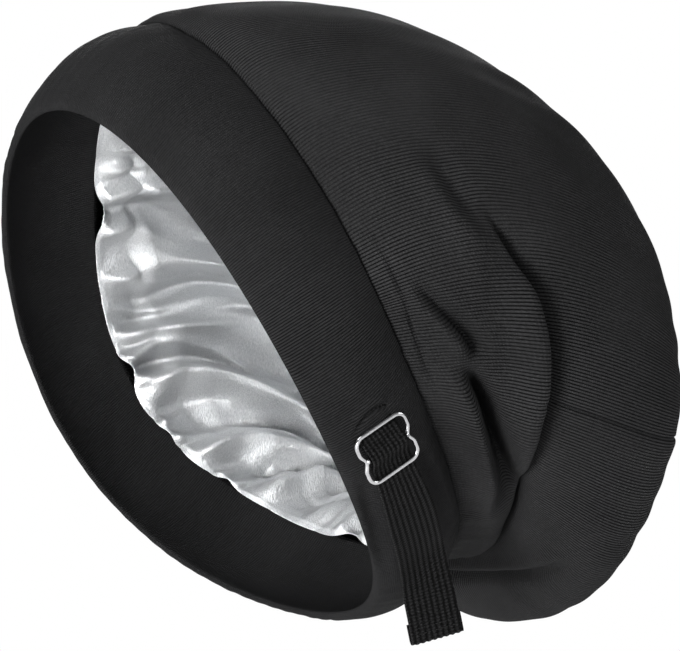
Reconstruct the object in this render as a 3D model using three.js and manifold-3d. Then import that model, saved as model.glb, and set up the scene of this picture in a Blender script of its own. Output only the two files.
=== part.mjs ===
// Sleep bonnet: a wide folded band, a slouchy jersey crown, a gathered satin
// lining, and an elastic adjusting strap with its wire slide buckle.
// Millimetres, +Z up. The wearer faces -Y and their left side is +X. The
// origin is the centre of the head opening, where the band's rim lies.
// Angles go round the head in degrees: 0 forehead, 90 left ear, 180 nape.

import * as THREE from 'three';
import Module from 'manifold-3d';
import { mergeVertices } from 'three/addons/utils/BufferGeometryUtils.js';

const wasm = await Module();
wasm.setup();

// Head opening
const HEAD_LENGTH = 206;
const HEAD_WIDTH = 163;
const RIM_SLOPE = 56;
const EGG = 0.08;
const RIM_SADDLE = 7.3;
const RIM_WAVE = -1.3;

// Band
const BAND_WIDTH = 42.7;
const BAND_WALL = 3.5;
const BAND_FLARE = 5;
const BAND_BULGE = 6.5;
const SEAM_TURN = 2;
const SEAM_SHIFT = 1.5;
const SEAM_SADDLE = 12;
const SEAM_WAVE = -2.3;
const SEAM_SQUARE = 1.8;
const SEAM_GAP = 0.3;

// Crown
const BAG_LENGTH = 227.6;
const BAG_WIDTH = 204.2;
const CROWN_REACH = 142.6;
const JERSEY = 1.8;
const FOLD_DEPTH = 12;

// Lining
const SATIN = 1;
const LINING_GAP = 0.6;
const LINING_HEM = 5;
const GATHER = 4;
const SCALLOP = 3;
const SCALLOPS = 22;

// Strap
const STRAP_WIDTH = 14.5;
const STRAP_THICKNESS = 1.2;
const STRAP_TUCK = 8;
const STRAP_RISE = 9;
const STRAP_RUN = 50;
const STRAP_DROP = 32;
const STRAP_SWAY = 0.25;
const HEM_LENGTH = 5.5;
const HEM_WIDTH = 16.5;
const HEM_THICKNESS = 3.4;
const CLEARANCE = 0.3;

// Buckle
const BUCKLE_LENGTH = 18.5;
const WIRE = 1.4;
const BUCKLE_ANGLE = 110;
const BUCKLE_HEIGHT = 16;
const BUCKLE_SHOULDER = 1.3;
const BUCKLE_CORNER = 3.2;

// Half widths of the buckle's wire, at its pinched waist and at its bars.
const BUCKLE_WAIST = STRAP_WIDTH / 2 + CLEARANCE + WIRE / 2;
const BUCKLE_SIDE = BUCKLE_WAIST + BUCKLE_SHOULDER;

// Steps round the head
const CROWN_SIDES = 60;
const LINING_SIDES = 88;

// Where the hanging tail points: down by its weight, swayed to the back.
const HANG = new THREE.Vector3(0, STRAP_SWAY, -1).normalize();

// Turns rows of numbers into objects with the named columns.
function table(columns, rows) {
  const names = columns.split(' ');
  return rows.map((row) => Object.fromEntries(names.map((name, i) => [name, row[i]])));
}

// Crown sections, from the band seam to the tip. Place: centre as shares of
// CROWN_REACH behind and above the seam. Slope in degrees. Length and width
// as shares of the bag's. Saddle and wave as shares of the seam's.
const CROWN_SECTIONS = table('along behind above slope length width egg saddle wave square', [
  [0.12, 0.073, 0.027, 56.7, 0.981, 0.912, 0.06, 0.92, 0.87, 1.9],
  [0.3, 0.221, 0.044, 61.8, 0.992, 0.978, 0.03, 0.58, 0.43, 2],
  [0.5, 0.457, 0.017, 71.5, 1, 1, 0, 0.33, 0, 2],
  [0.7, 0.737, -0.048, 80.9, 0.862, 0.917, 0, 0.17, 0, 2],
  [0.87, 0.931, -0.102, 89.6, 0.498, 0.615, 0, 0.08, 0, 2],
  [1, 1, -0.109, 96.1, 0.04, 0.024, 0, 0, 0, 2],
]);

// The main fold: where the bag slumps over itself behind the ear and runs
// down to the nape. Depth as a share of FOLD_DEPTH on the left side.
const MAIN_FOLD = table('angle along depth', [
  [0, 0.3, 0],
  [66, 0.345, 0],
  [81, 0.36, 0.45],
  [94, 0.37, 1],
  [108, 0.335, 1],
  [125, 0.235, 0.85],
  [138, 0.18, 0.7],
  [154, 0.15, 0.5],
  [180, 0.14, 0.3],
]);

// Smaller folds on the left side, with the same columns.
const SIDE_FOLDS = [
  table('angle along depth', [[66, 0.3, 0], [76, 0.3, 0.25], [90, 0.29, 0.15], [96, 0.28, 0]]),
  table('angle along depth', [[84, 0.13, 0], [92, 0.14, 0.2], [103, 0.17, 0.45], [118, 0.17, 0]]),
  table('angle along depth', [[148, 0.46, 0], [162, 0.39, 0.4], [176, 0.34, 0.3], [190, 0.33, 0]]),
];
const FOLD_FRONT = 0.035;
const FOLD_BACK = 0.08;
const SIDE_FOLD_WIDTH = 0.035;
const FOLD_LIP = 0.4;
const RIGHT_SIDE = 0.5;

// How far the lining hangs inside the crown, as a share of the jersey wall
// and the deepest fold together.
const LINING_SLACK = table('along slack', [
  [0, 0], [0.1, 0.45], [0.2, 1], [0.36, 1.1], [0.55, 1.05], [0.8, 0.6], [1, 0.4],
]);

// Band section: place across the band from rim to seam as a share of its
// width, and depth into the wall as a share of the wall.
const BAND_SECTION = table('across depth', [
  [0, 0.5], [0.012, 0.15], [0.04, 0], [0.2, 0], [0.375, 0], [0.56, 0], [0.78, 0], [1, 0],
  [1, 1], [0.84, 1], [0.6, 1], [0.32, 1], [0.04, 1], [0.012, 0.85],
]);

// Rows of the crown grid, as shares of the way from seam to main fold and of
// the way from main fold to tip.
const ROWS_TO_FOLD = [0, 0.14, 0.29, 0.43, 0.56, 0.68, 0.79, 0.9, 1];
const ROWS_TO_TIP = [0.05, 0.11, 0.19, 0.29, 0.41, 0.54, 0.66, 0.75, 0.82, 0.88, 0.93, 0.97];
const LINING_ROWS = [0.08, 0.18, 0.3, 0.45, 0.62, 0.78, 0.9, 0.97];

function smooth(x) {
  const s = Math.min(Math.max(x, 0), 1);
  return s * s * (3 - 2 * s);
}

// Natural cubic spline through (xs, ys), read at x.
function spline(xs, ys, x) {
  const n = xs.length;
  const bend = new Array(n).fill(0);
  const rest = new Array(n).fill(0);
  for (let i = 1; i < n - 1; i++) {
    const left = xs[i] - xs[i - 1];
    const right = xs[i + 1] - xs[i];
    const jump = (ys[i + 1] - ys[i]) / right - (ys[i] - ys[i - 1]) / left;
    const pivot = left * rest[i - 1] + 2 * (left + right);
    rest[i] = -right / pivot;
    bend[i] = (6 * jump - left * bend[i - 1]) / pivot;
  }
  for (let i = n - 2; i > 0; i--) {
    bend[i] += rest[i] * bend[i + 1];
  }
  let k = 0;
  while (k < n - 2 && x > xs[k + 1]) {
    k++;
  }
  const h = xs[k + 1] - xs[k];
  const a = (xs[k + 1] - x) / h;
  const b = (x - xs[k]) / h;
  return a * ys[k] + b * ys[k + 1]
    + ((a ** 3 - a) * bend[k] + (b ** 3 - b) * bend[k + 1]) * h * h / 6;
}

// A table column read at x, eased between rows so that it never overshoots.
function eased(rows, key, column, x) {
  if (x <= rows[0][key]) {
    return rows[0][column];
  }
  for (let i = 1; i < rows.length; i++) {
    const low = rows[i - 1];
    const high = rows[i];
    if (x <= high[key]) {
      const share = smooth((x - low[key]) / (high[key] - low[key]));
      return low[column] + (high[column] - low[column]) * share;
    }
  }
  return rows[rows.length - 1][column];
}

const column = (rows, name) => rows.map((row) => row[name]);

// Axis of a section leaning back by a slope: from the opening into the crown.
function axisAt(slope) {
  const s = THREE.MathUtils.degToRad(slope);
  return new THREE.Vector3(0, Math.sin(s), Math.cos(s));
}

// Direction from a section's centre to its front.
function frontAt(slope) {
  const s = THREE.MathUtils.degToRad(slope);
  return new THREE.Vector3(0, -Math.cos(s), Math.sin(s));
}

// Point of a section at an angle round the head: a squared oval, narrower
// towards the front, bent along the section's axis.
function sectionPoint(section, angle) {
  const t = THREE.MathUtils.degToRad(angle);
  const power = 2 / section.square;
  const front = Math.sign(Math.cos(t)) * Math.abs(Math.cos(t)) ** power;
  const side = Math.sign(Math.sin(t)) * Math.abs(Math.sin(t)) ** power;
  const bend = section.saddle * Math.cos(2 * t) + section.wave * Math.cos(3 * t);
  return section.centre.clone()
    .add(new THREE.Vector3(side * section.halfWidth * (1 - section.egg * front), 0, 0))
    .addScaledVector(frontAt(section.slope), front * section.halfLength)
    .addScaledVector(axisAt(section.slope), bend);
}

const RIM = {
  centre: new THREE.Vector3(),
  slope: RIM_SLOPE,
  halfLength: HEAD_LENGTH / 2,
  halfWidth: HEAD_WIDTH / 2,
  egg: EGG,
  saddle: RIM_SADDLE,
  wave: RIM_WAVE,
  square: 2,
};

const SEAM = {
  centre: axisAt(RIM_SLOPE).multiplyScalar(BAND_WIDTH)
    .addScaledVector(frontAt(RIM_SLOPE), SEAM_SHIFT),
  slope: RIM_SLOPE + SEAM_TURN,
  halfLength: HEAD_LENGTH / 2 + BAND_FLARE,
  halfWidth: HEAD_WIDTH / 2 + BAND_FLARE,
  egg: EGG,
  saddle: SEAM_SADDLE,
  wave: SEAM_WAVE,
  square: SEAM_SQUARE,
};

const SECTION_SIZES = ['slope', 'halfLength', 'halfWidth', 'egg', 'saddle', 'wave', 'square'];

// Section of the band's outside, 0 at the rim and 1 at the crown seam.
function bandSection(across) {
  const section = { centre: new THREE.Vector3().lerpVectors(RIM.centre, SEAM.centre, across) };
  for (const name of SECTION_SIZES) {
    section[name] = RIM[name] + (SEAM[name] - RIM[name]) * across;
  }
  const bulge = BAND_BULGE * 4 * across * (1 - across);
  section.halfLength += bulge;
  section.halfWidth += 0.8 * bulge;
  return section;
}

const CROWN_START = SEAM.centre.clone().addScaledVector(axisAt(SEAM.slope), SEAM_GAP);

// Crown sections in millimetres, with the band seam as the first one.
const CROWN_STATIONS = [{ ...SEAM, along: 0, y: CROWN_START.y, z: CROWN_START.z }].concat(
  CROWN_SECTIONS.map((row) => ({
    along: row.along,
    y: CROWN_START.y + row.behind * CROWN_REACH,
    z: CROWN_START.z + row.above * CROWN_REACH,
    slope: row.slope,
    halfLength: row.length * BAG_LENGTH / 2,
    halfWidth: row.width * BAG_WIDTH / 2,
    egg: row.egg,
    saddle: row.saddle * SEAM_SADDLE,
    wave: row.wave * SEAM_WAVE,
    square: row.square,
  })),
);

// Section of the unfolded crown, 0 at the seam and 1 at the tip.
function crownSection(along) {
  const read = (name) => spline(column(CROWN_STATIONS, 'along'), column(CROWN_STATIONS, name), along);
  const section = { centre: new THREE.Vector3(0, read('y'), read('z')) };
  for (const name of SECTION_SIZES) {
    section[name] = read(name);
  }
  return section;
}

// Outward direction of a surface, from its sections. Where the surface meets
// a seam it lies in the section's own plane, so that walls meet squarely.
function outward(sectionAt, place, angle, turn) {
  const step = 0.01;
  const section = sectionAt(place);
  const here = sectionPoint(section, angle);
  const round = sectionPoint(section, angle + 1).sub(sectionPoint(section, angle - 1));
  const flat = round.clone().cross(axisAt(section.slope)).normalize();
  const on = sectionPoint(sectionAt(Math.min(place + step, 1)), angle);
  const back = sectionPoint(sectionAt(Math.max(place - step, 0)), angle);
  const full = round.cross(on.sub(back)).normalize();
  const normal = flat.lerp(full, turn).normalize();
  return { here, normal };
}

const bandOutward = (across, angle) => outward(bandSection, across, angle, 0);
const crownOutward = (along, angle) => outward(crownSection, along, angle, smooth(along / 0.1));

// Point sunk into a surface by a depth.
function sunk(place, depth) {
  return place.here.clone().addScaledVector(place.normal, -depth);
}

const mirrored = (angle) => (angle > 180 ? 360 - angle : angle);
const mainFoldAt = (angle) => spline(
  column(MAIN_FOLD, 'angle'), column(MAIN_FOLD, 'along'), mirrored(angle),
);

// Depth of the crown's folds below its unfolded surface.
function foldDepth(along, angle) {
  const share = angle > 180 ? RIGHT_SIDE + (1 - RIGHT_SIDE) * smooth((200 - angle) / 20) : 1;
  const offset = along - mainFoldAt(angle);
  const main = eased(MAIN_FOLD, 'angle', 'depth', mirrored(angle)) * share;
  const valley = Math.exp(-((offset / (offset < 0 ? FOLD_FRONT : FOLD_BACK)) ** 2));
  const lip = FOLD_LIP * Math.exp(-(((offset + 2.2 * FOLD_FRONT) / FOLD_FRONT) ** 2));
  let depth = main * (valley - lip);
  for (const fold of SIDE_FOLDS) {
    const centre = eased(fold, 'angle', 'along', angle);
    const strength = eased(fold, 'angle', 'depth', angle);
    depth += strength * Math.exp(-(((along - centre) / SIDE_FOLD_WIDTH) ** 2));
  }
  return FOLD_DEPTH * depth * smooth(along / 0.06);
}

const anglesOf = (sides) => Array.from({ length: sides }, (_, i) => i * 360 / sides);

// One closed body over rows of points. Each row is a closed loop. The last
// row joins the first, or both ends are closed over a middle point.
function bodyOf(rows, joined, poles = [middle(rows[0]), middle(rows[rows.length - 1])]) {
  const sides = rows[0].length;
  const points = rows.flat();
  const faces = [];
  const strips = joined ? rows.length : rows.length - 1;
  for (let i = 0; i < strips; i++) {
    const low = i * sides;
    const high = ((i + 1) % rows.length) * sides;
    for (let j = 0; j < sides; j++) {
      const next = (j + 1) % sides;
      faces.push([low + j, low + next, high + next], [low + j, high + next, high + j]);
    }
  }
  if (!joined) {
    const end = points.length - sides;
    points.push(...poles);
    for (let j = 0; j < sides; j++) {
      const next = (j + 1) % sides;
      faces.push([next, j, points.length - 2], [end + j, end + next, points.length - 1]);
    }
  }
  return geometryOf(points, faces);
}

function middle(row) {
  return row.reduce((sum, point) => sum.add(point), new THREE.Vector3()).divideScalar(row.length);
}

// Geometry from points and triangles, turned so that its faces point out.
function geometryOf(points, faces) {
  let volume = 0;
  for (const [a, b, c] of faces) {
    volume += points[a].dot(points[b].clone().cross(points[c]));
  }
  const turned = volume < 0 ? faces.map(([a, b, c]) => [a, c, b]) : faces;
  const geometry = new THREE.BufferGeometry();
  geometry.setAttribute('position', new THREE.Float32BufferAttribute(
    points.flatMap((point) => point.toArray()), 3,
  ));
  geometry.setIndex(turned.flat());
  return geometry;
}

// A closed geometry as a solid that can be joined and cut, and back.
function toSolid(geometry) {
  const bare = geometry.clone();
  bare.deleteAttribute('normal');
  bare.deleteAttribute('uv');
  const merged = mergeVertices(bare, 1e-4);
  return new wasm.Manifold(new wasm.Mesh({
    numProp: 3,
    vertProperties: merged.attributes.position.array,
    triVerts: Uint32Array.from(merged.index.array),
  }));
}

function toGeometry(solid) {
  const mesh = solid.getMesh();
  const geometry = new THREE.BufferGeometry();
  geometry.setAttribute('position', new THREE.Float32BufferAttribute(mesh.vertProperties, 3));
  geometry.setIndex(Array.from(mesh.triVerts));
  return geometry;
}

const BUCKLE_ACROSS = BUCKLE_HEIGHT / BAND_WIDTH;

// Point of the strap's line over the band, a distance past the buckle.
function strapLine(distance) {
  return outward(bandSection, BUCKLE_ACROSS, BUCKLE_ANGLE + distance / MM_PER_DEGREE, 1);
}

// Millimetres of band per degree round the head, at the buckle.
const MM_PER_DEGREE = (() => {
  const section = bandSection(BUCKLE_ACROSS);
  const before = sectionPoint(section, BUCKLE_ANGLE - 0.5);
  return before.distanceTo(sectionPoint(section, BUCKLE_ANGLE + 0.5));
})();

// Frame on the strap's line: along it, across it, and out of the band.
function strapFrame(distance) {
  const step = 1;
  const { here, normal } = strapLine(distance);
  const along = strapLine(distance + step).here.sub(strapLine(distance - step).here).normalize();
  const across = normal.clone().cross(along).normalize();
  const out = along.clone().cross(across).normalize();
  return { here, along, across, out };
}

const POCKET_DEPTH = 0.58 * BAND_WALL;
const STRAP_SEAT = CLEARANCE + STRAP_THICKNESS / 2;
const BUCKLE_FRAME = strapFrame(0);
// The band curves away below the buckle's end bars by this much.
const BUCKLE_SAG = (() => {
  const end = strapLine(BUCKLE_LENGTH / 2 - WIRE / 2).here.sub(BUCKLE_FRAME.here);
  return -end.dot(BUCKLE_FRAME.out);
})();
const BUCKLE_LIFT = STRAP_SEAT + STRAP_THICKNESS / 2 + CLEARANCE + WIRE / 2;
const STRAP_OVER_BAR = BUCKLE_LIFT + WIRE / 2 + CLEARANCE + STRAP_THICKNESS / 2;
const POCKET_END = -(BUCKLE_LENGTH / 2 - STRAP_RISE / 3);
const POCKET_START = POCKET_END - STRAP_RISE;

// Height of the strap's middle over the band's outside.
function strapHeight(distance) {
  const rise = smooth((distance - POCKET_START) / STRAP_RISE);
  const resting = -POCKET_DEPTH + (STRAP_SEAT + POCKET_DEPTH) * rise;
  const hump = Math.exp(-((distance / (0.19 * BUCKLE_LENGTH)) ** 2));
  return resting + (STRAP_OVER_BAR - STRAP_SEAT) * hump;
}

// Four corners of the strap at a frame.
function strapCorners(frame, width, thickness) {
  const corners = [[-1, -1], [1, -1], [1, 1], [-1, 1]];
  return corners.map(([side, face]) => frame.here.clone()
    .addScaledVector(frame.across, side * width / 2)
    .addScaledVector(frame.out, face * thickness / 2));
}

// Strap frame lifted to its height, tilted along its rise and fall.
function raisedFrame(distance) {
  const frame = strapFrame(distance);
  const slope = (strapHeight(distance + 0.1) - strapHeight(distance - 0.1)) / 0.2;
  const along = frame.along.clone().addScaledVector(frame.out, slope).normalize();
  return {
    here: frame.here.clone().addScaledVector(frame.out, strapHeight(distance)),
    across: frame.across,
    along,
    out: along.clone().cross(frame.across).normalize(),
  };
}

// Frames of the strap over the band, from its tucked end to where it leaves.
function strapOnBand(start, end, step) {
  const count = Math.round((end - start) / step);
  return Array.from({ length: count + 1 }, (_, i) => raisedFrame(start + (end - start) * i / count));
}

// Frames of the hanging tail: it leaves the band and turns down by its weight.
function strapTail(first, length, steps) {
  const frames = [];
  let frame = first;
  for (let i = 1; i <= steps; i++) {
    const turn = smooth(i / steps * 1.6) * 0.94;
    const along = first.along.clone().lerp(HANG, turn).normalize();
    const here = frame.here.clone().addScaledVector(along, length / steps);
    const out = along.clone().cross(first.across).normalize();
    frame = { here, along, across: out.clone().cross(along).normalize(), out };
    frames.push(frame);
  }
  return frames;
}

function bandGeometry() {
  const rows = anglesOf(CROWN_SIDES).map((angle) => BAND_SECTION.map((point) => (
    sunk(bandOutward(point.across, angle), point.depth * BAND_WALL)
  )));
  const band = toSolid(bodyOf(rows, true));
  const pocket = strapOnBand(POCKET_START - STRAP_TUCK - CLEARANCE, POCKET_END - 1, 1).map(
    (frame) => strapCorners(frame, STRAP_WIDTH + 2 * CLEARANCE, STRAP_THICKNESS + 2 * CLEARANCE),
  );
  return toGeometry(band.subtract(toSolid(bodyOf(pocket, false))));
}

function crownGeometry() {
  const angles = anglesOf(CROWN_SIDES);
  const skin = (depth) => {
    const toFold = ROWS_TO_FOLD.map((share) => angles.map((angle) => share * mainFoldAt(angle)));
    const toTip = ROWS_TO_TIP.map((share) => angles.map((angle) => (
      mainFoldAt(angle) + share * (1 - mainFoldAt(angle))
    )));
    return toFold.concat(toTip).map((row) => row.map((along, i) => (
      sunk(crownOutward(along, angles[i]), foldDepth(along, angles[i]) + depth)
    )));
  };
  const tip = crownSection(1);
  const poles = [0, JERSEY].map((depth) => (
    tip.centre.clone().addScaledVector(axisAt(tip.slope), -depth)
  ));
  return bodyOf([...skin(0).reverse(), ...skin(JERSEY)], false, poles);
}

// Gathers of the lining: inward swells that fade from its hem to the tip.
function gatherAt(angle, fade) {
  const t = THREE.MathUtils.degToRad(angle);
  const wander = 1.3 * Math.sin(3 * t) + 0.8 * Math.sin(5 * t + 1);
  const fine = 0.5 + 0.5 * Math.cos(SCALLOPS * t + wander);
  const broad = 0.5 + 0.5 * Math.cos(SCALLOPS / 3 * t + 2 * Math.sin(t));
  return GATHER * (0.7 * fine * fade + 0.3 * broad * Math.sqrt(fade));
}

// Depth of the ungathered lining below the crown's unfolded surface.
function liningDepth(along) {
  const slack = eased(LINING_SLACK, 'along', 'slack', along);
  return BAND_WALL + LINING_GAP + slack * (JERSEY + FOLD_DEPTH);
}

function liningGeometry() {
  const angles = anglesOf(LINING_SIDES);
  const hemShare = LINING_HEM / BAND_WIDTH;
  const inBand = (share, angle) => {
    const lift = SCALLOP / BAND_WIDTH * gatherAt(angle, 1) / GATHER;
    const across = 1 - (hemShare - lift) * share;
    return sunk(bandOutward(across, angle), BAND_WALL + LINING_GAP + gatherAt(angle, 1));
  };
  const inCrown = (along, angle) => (
    sunk(crownOutward(along, angle), liningDepth(along) + gatherAt(angle, (1 - along) ** 1.5))
  );
  const outside = [
    ...[1, 0.5, 0].map((share) => angles.map((angle) => inBand(share, angle))),
    ...LINING_ROWS.map((along) => angles.map((angle) => inCrown(along, angle))),
  ];
  const tip = crownSection(1);
  const poles = [0, SATIN].map((depth) => liningDepth(1) + depth).map((depth) => (
    tip.centre.clone().addScaledVector(axisAt(tip.slope), -depth)
  ));
  const inside = outside.map((row, i) => row.map((point, j) => {
    const before = row[(j + row.length - 1) % row.length];
    const after = row[(j + 1) % row.length];
    const low = outside[Math.max(i - 1, 0)][j];
    const high = outside[Math.min(i + 1, outside.length - 1)][j];
    const normal = after.clone().sub(before).cross(high.clone().sub(low)).normalize();
    return point.clone().addScaledVector(normal, -SATIN);
  }));
  return bodyOf([...outside.reverse(), ...inside], false, poles);
}

function strapGeometry() {
  const onBand = strapOnBand(POCKET_START - STRAP_TUCK, STRAP_RUN, 1.5);
  const tail = strapTail(onBand[onBand.length - 1], STRAP_DROP, 12);
  const end = tail[tail.length - 1];
  const strap = [...onBand, ...tail].map((frame) => strapCorners(frame, STRAP_WIDTH, STRAP_THICKNESS));
  const hemEnd = { ...end, here: end.here.clone().addScaledVector(end.along, HEM_LENGTH) };
  const hem = [end, hemEnd].map((frame) => strapCorners(frame, HEM_WIDTH, HEM_THICKNESS));
  return bodyOf([...strap, ...hem], false);
}

// Half outline of the buckle's wire loop, from the middle of its top bar
// round the pinched waist to the middle of its bottom bar.
function buckleOutline() {
  const x = BUCKLE_SIDE;
  const y = BUCKLE_LENGTH / 2 - WIRE / 2;
  const r = BUCKLE_CORNER;
  const waist = BUCKLE_WAIST;
  const path = new THREE.Shape();
  path.moveTo(0, y);
  path.lineTo(x - r, y);
  path.quadraticCurveTo(x, y, x, y - r);
  path.bezierCurveTo(x, 0.3 * y, waist, 0.35 * y, waist, 0);
  path.bezierCurveTo(waist, -0.35 * y, x, -0.3 * y, x, r - y);
  path.quadraticCurveTo(x, -y, x - r, -y);
  path.lineTo(0, -y);
  return path;
}

// The wire slide lies flat here: bars along X, strap along Y, out along Z.
function buckleGeometry() {
  const half = buckleOutline().getPoints(5);
  const other = half.slice(1, -1).reverse().map((point) => new THREE.Vector2(-point.x, point.y));
  const outline = [...half, ...other];
  const facets = 8;
  const rows = outline.map((point, i) => {
    const before = outline[(i + outline.length - 1) % outline.length];
    const after = outline[(i + 1) % outline.length];
    const side = new THREE.Vector2(after.y - before.y, before.x - after.x).normalize();
    return Array.from({ length: facets }, (_, k) => {
      const turn = (k + 0.5) * 2 * Math.PI / facets;
      const reach = Math.cos(turn) * WIRE / 2;
      const edge = side.clone().multiplyScalar(reach).add(point);
      return new THREE.Vector3(edge.x, edge.y, Math.sin(turn) * WIRE / 2);
    });
  });
  const loop = toSolid(bodyOf(rows, true));
  const bar = new THREE.CylinderGeometry(WIRE / 2, WIRE / 2, 2 * BUCKLE_WAIST, facets, 1);
  bar.rotateY(Math.PI / facets);
  bar.rotateZ(Math.PI / 2);
  return toGeometry(loop.add(toSolid(bar)));
}

const jersey = new THREE.MeshStandardMaterial({ color: 0x17171a, roughness: 0.95, metalness: 0 });
const satin = new THREE.MeshStandardMaterial({ color: 0xb9bec4, roughness: 0.35, metalness: 0 });
const elastic = new THREE.MeshStandardMaterial({ color: 0x101012, roughness: 0.85, metalness: 0 });
const steel = new THREE.MeshStandardMaterial({ color: 0xb4b6b8, roughness: 0.3, metalness: 1 });

function piece(name, geometry, material) {
  const mesh = new THREE.Mesh(geometry, material);
  mesh.name = name;
  return mesh;
}

function buckle() {
  const mesh = piece('buckle', buckleGeometry(), steel);
  const { here, across, along, out } = BUCKLE_FRAME;
  const turn = new THREE.Matrix4().makeBasis(across, along.clone().negate(), out);
  mesh.quaternion.setFromRotationMatrix(turn);
  mesh.position.copy(here).addScaledVector(out, BUCKLE_LIFT - BUCKLE_SAG);
  return mesh;
}

const bonnet = new THREE.Group();
bonnet.add(
  piece('band', bandGeometry(), jersey),
  piece('crown', crownGeometry(), jersey),
  piece('lining', liningGeometry(), satin),
  piece('strap', strapGeometry(), elastic),
  buckle(),
);

export default bonnet;
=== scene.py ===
"""Sleep bonnet: finish, folds and fine shape of each piece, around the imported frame.

The surfaces repeat the part's own sections at a finer step, with steeper folds and thinner
cloth. Sizes of the pieces are in millimetres, as in the part's source, and become metres when
a mesh is made. Angles go round the head in degrees: 0 forehead, 90 left ear, 180 nape.
"""

import math

import bmesh
import bpy
import numpy as np
from mathutils import Matrix, Vector


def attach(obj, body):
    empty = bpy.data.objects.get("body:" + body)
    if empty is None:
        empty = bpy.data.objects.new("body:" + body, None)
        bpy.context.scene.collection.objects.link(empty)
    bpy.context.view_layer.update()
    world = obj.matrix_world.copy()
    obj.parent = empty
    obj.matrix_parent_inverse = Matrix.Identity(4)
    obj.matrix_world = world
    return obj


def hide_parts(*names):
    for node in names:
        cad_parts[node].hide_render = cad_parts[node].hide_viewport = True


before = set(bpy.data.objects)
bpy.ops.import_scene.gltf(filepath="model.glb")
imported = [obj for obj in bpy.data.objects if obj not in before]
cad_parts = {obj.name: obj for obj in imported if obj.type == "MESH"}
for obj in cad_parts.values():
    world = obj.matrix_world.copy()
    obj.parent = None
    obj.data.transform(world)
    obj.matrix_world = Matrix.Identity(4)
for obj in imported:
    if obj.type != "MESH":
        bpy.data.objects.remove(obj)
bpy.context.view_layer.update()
MM = 0.001

# Photograph's view, in degrees and metres
IMAGE_WIDTH = 680
VIEW_AZIMUTH = 55.0
VIEW_ELEVATION = -7.0
VIEW_DISTANCE = 0.75
PIXELS_PER_METRE = 2942.0
AIM_RIGHT = 0.0562
AIM_UP = 0.0192

# Studio, in degrees, metres and watts: each light's azimuth, elevation, distance, size and power
LIGHTS = {
    "Front light": (30, -14, 1.15, 0.4, 22),
    "Top light": (-5, 48, 1.3, 0.8, 19),
    "Side light": (130, 30, 1.4, 0.8, 10),
    "Back light": (235, 30, 1.5, 1.0, 36),
    "Fill light": (75, 5, 1.4, 0.9, 3),
}
LIGHT_TARGET = (0, 0.05, 0.02)
SURROUND_LIGHT = 0.21
FLOOR_HEIGHT = -0.42
FLOOR_RADIUS = 6.0
FLOOR_SIDES = 96

# Head opening
HEAD_LENGTH = 206.0
HEAD_WIDTH = 163.0
RIM_SLOPE = 56.0
EGG = 0.08
RIM_SADDLE = 7.3
RIM_WAVE = -1.3

# Band
BAND_WIDTH = 42.7
BAND_WALL = 3.5
BAND_FLARE = 5.0
BAND_BULGE = 6.5
SEAM_TURN = 2.0
SEAM_SHIFT = 1.5
SEAM_SADDLE = 12.0
SEAM_WAVE = -2.3
SEAM_SQUARE = 1.8
BAND_COLUMNS = 480

# Crown
BAG_LENGTH = 227.6
BAG_WIDTH = 204.2
CROWN_REACH = 142.6
JERSEY = 1.4
FOLD_DEPTH = 13.0
SIDE_SEAM_ANGLE = 112.0
MM_PER_SEAM_DEGREE = 1.8
CROWN_COLUMNS = 640

# Lining
SATIN = 0.3
LINING_GAP = 0.6
SCALLOPS = 38
SLACK_DEPTH = FOLD_DEPTH + 1.8
SEAM_SCALE = 108.0
LINING_LEAN = 0.12
LINING_SPACE = 1.0
LINING_END = 0.985
LEAST_HEM = 0.2
DRAPE_DEPTH = 15.0
PLEAT_DEPTH = 3.6
DRAPE_LEVEL = 9.2
LINING_COLUMNS = 880

# Strap
STRAP_WIDTH = 14.5
STRAP_THICKNESS = 1.2
STRAP_TUCK = 3.0
STRAP_RISE = 9.0
STRAP_RUN = 50.0
STRAP_DROP = 32.0
STRAP_SWAY = 0.25
HEM_LENGTH = 5.5
HEM_RADIUS = 1.15 * STRAP_THICKNESS / 2 + 0.35
HEM_SHIFT = 0.7
HEM_FLARE = 0.09
HEM_STEPS = 12
TAIL_SPREAD = 0.3
STRAP_RIBS = 9
STRAP_SIDES = 96
RIB_HEIGHT = 0.15
SLIT_RISE = 4.5
CLEARANCE = 0.3

# Buckle
BUCKLE_LENGTH = 18.5
WIRE = 1.4
WIRE_SIDES = 14
BUCKLE_ANGLE = 110.0
BUCKLE_HEIGHT = 16.0
BUCKLE_SHOULDER = 1.3
BUCKLE_CORNER = 3.2
BUCKLE_WAIST = STRAP_WIDTH / 2 + CLEARANCE + WIRE / 2


def table(columns, rows):
    """Rows of numbers as one array for each named column."""
    names = columns.split()
    return {name: np.array([row[i] for row in rows], float) for i, name in enumerate(names)}


# Crown sections, from the band seam to the tip, with lengths as shares: of CROWN_REACH, of the
# bag's length and width, and of the seam's bends.
CROWN_SECTIONS = table(
    "along behind above slope length width egg saddle wave square",
    [
        (0.12, 0.073, 0.027, 56.7, 0.981, 0.912, 0.06, 0.92, 0.87, 1.9),
        (0.3, 0.221, 0.044, 61.8, 0.992, 0.978, 0.03, 0.58, 0.43, 2),
        (0.5, 0.457, 0.017, 71.5, 1, 1, 0, 0.33, 0, 2),
        (0.7, 0.737, -0.048, 80.9, 0.862, 0.917, 0, 0.17, 0, 2),
        (0.87, 0.931, -0.102, 89.6, 0.498, 0.615, 0, 0.08, 0, 2),
        (1, 1, -0.109, 96.1, 0.04, 0.024, 0, 0, 0, 2),
    ],
)


def fold_line(*rows):
    """A fold's valley: where it runs on the crown, and its depth as a share of FOLD_DEPTH."""
    return table("angle along depth", rows)


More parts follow.
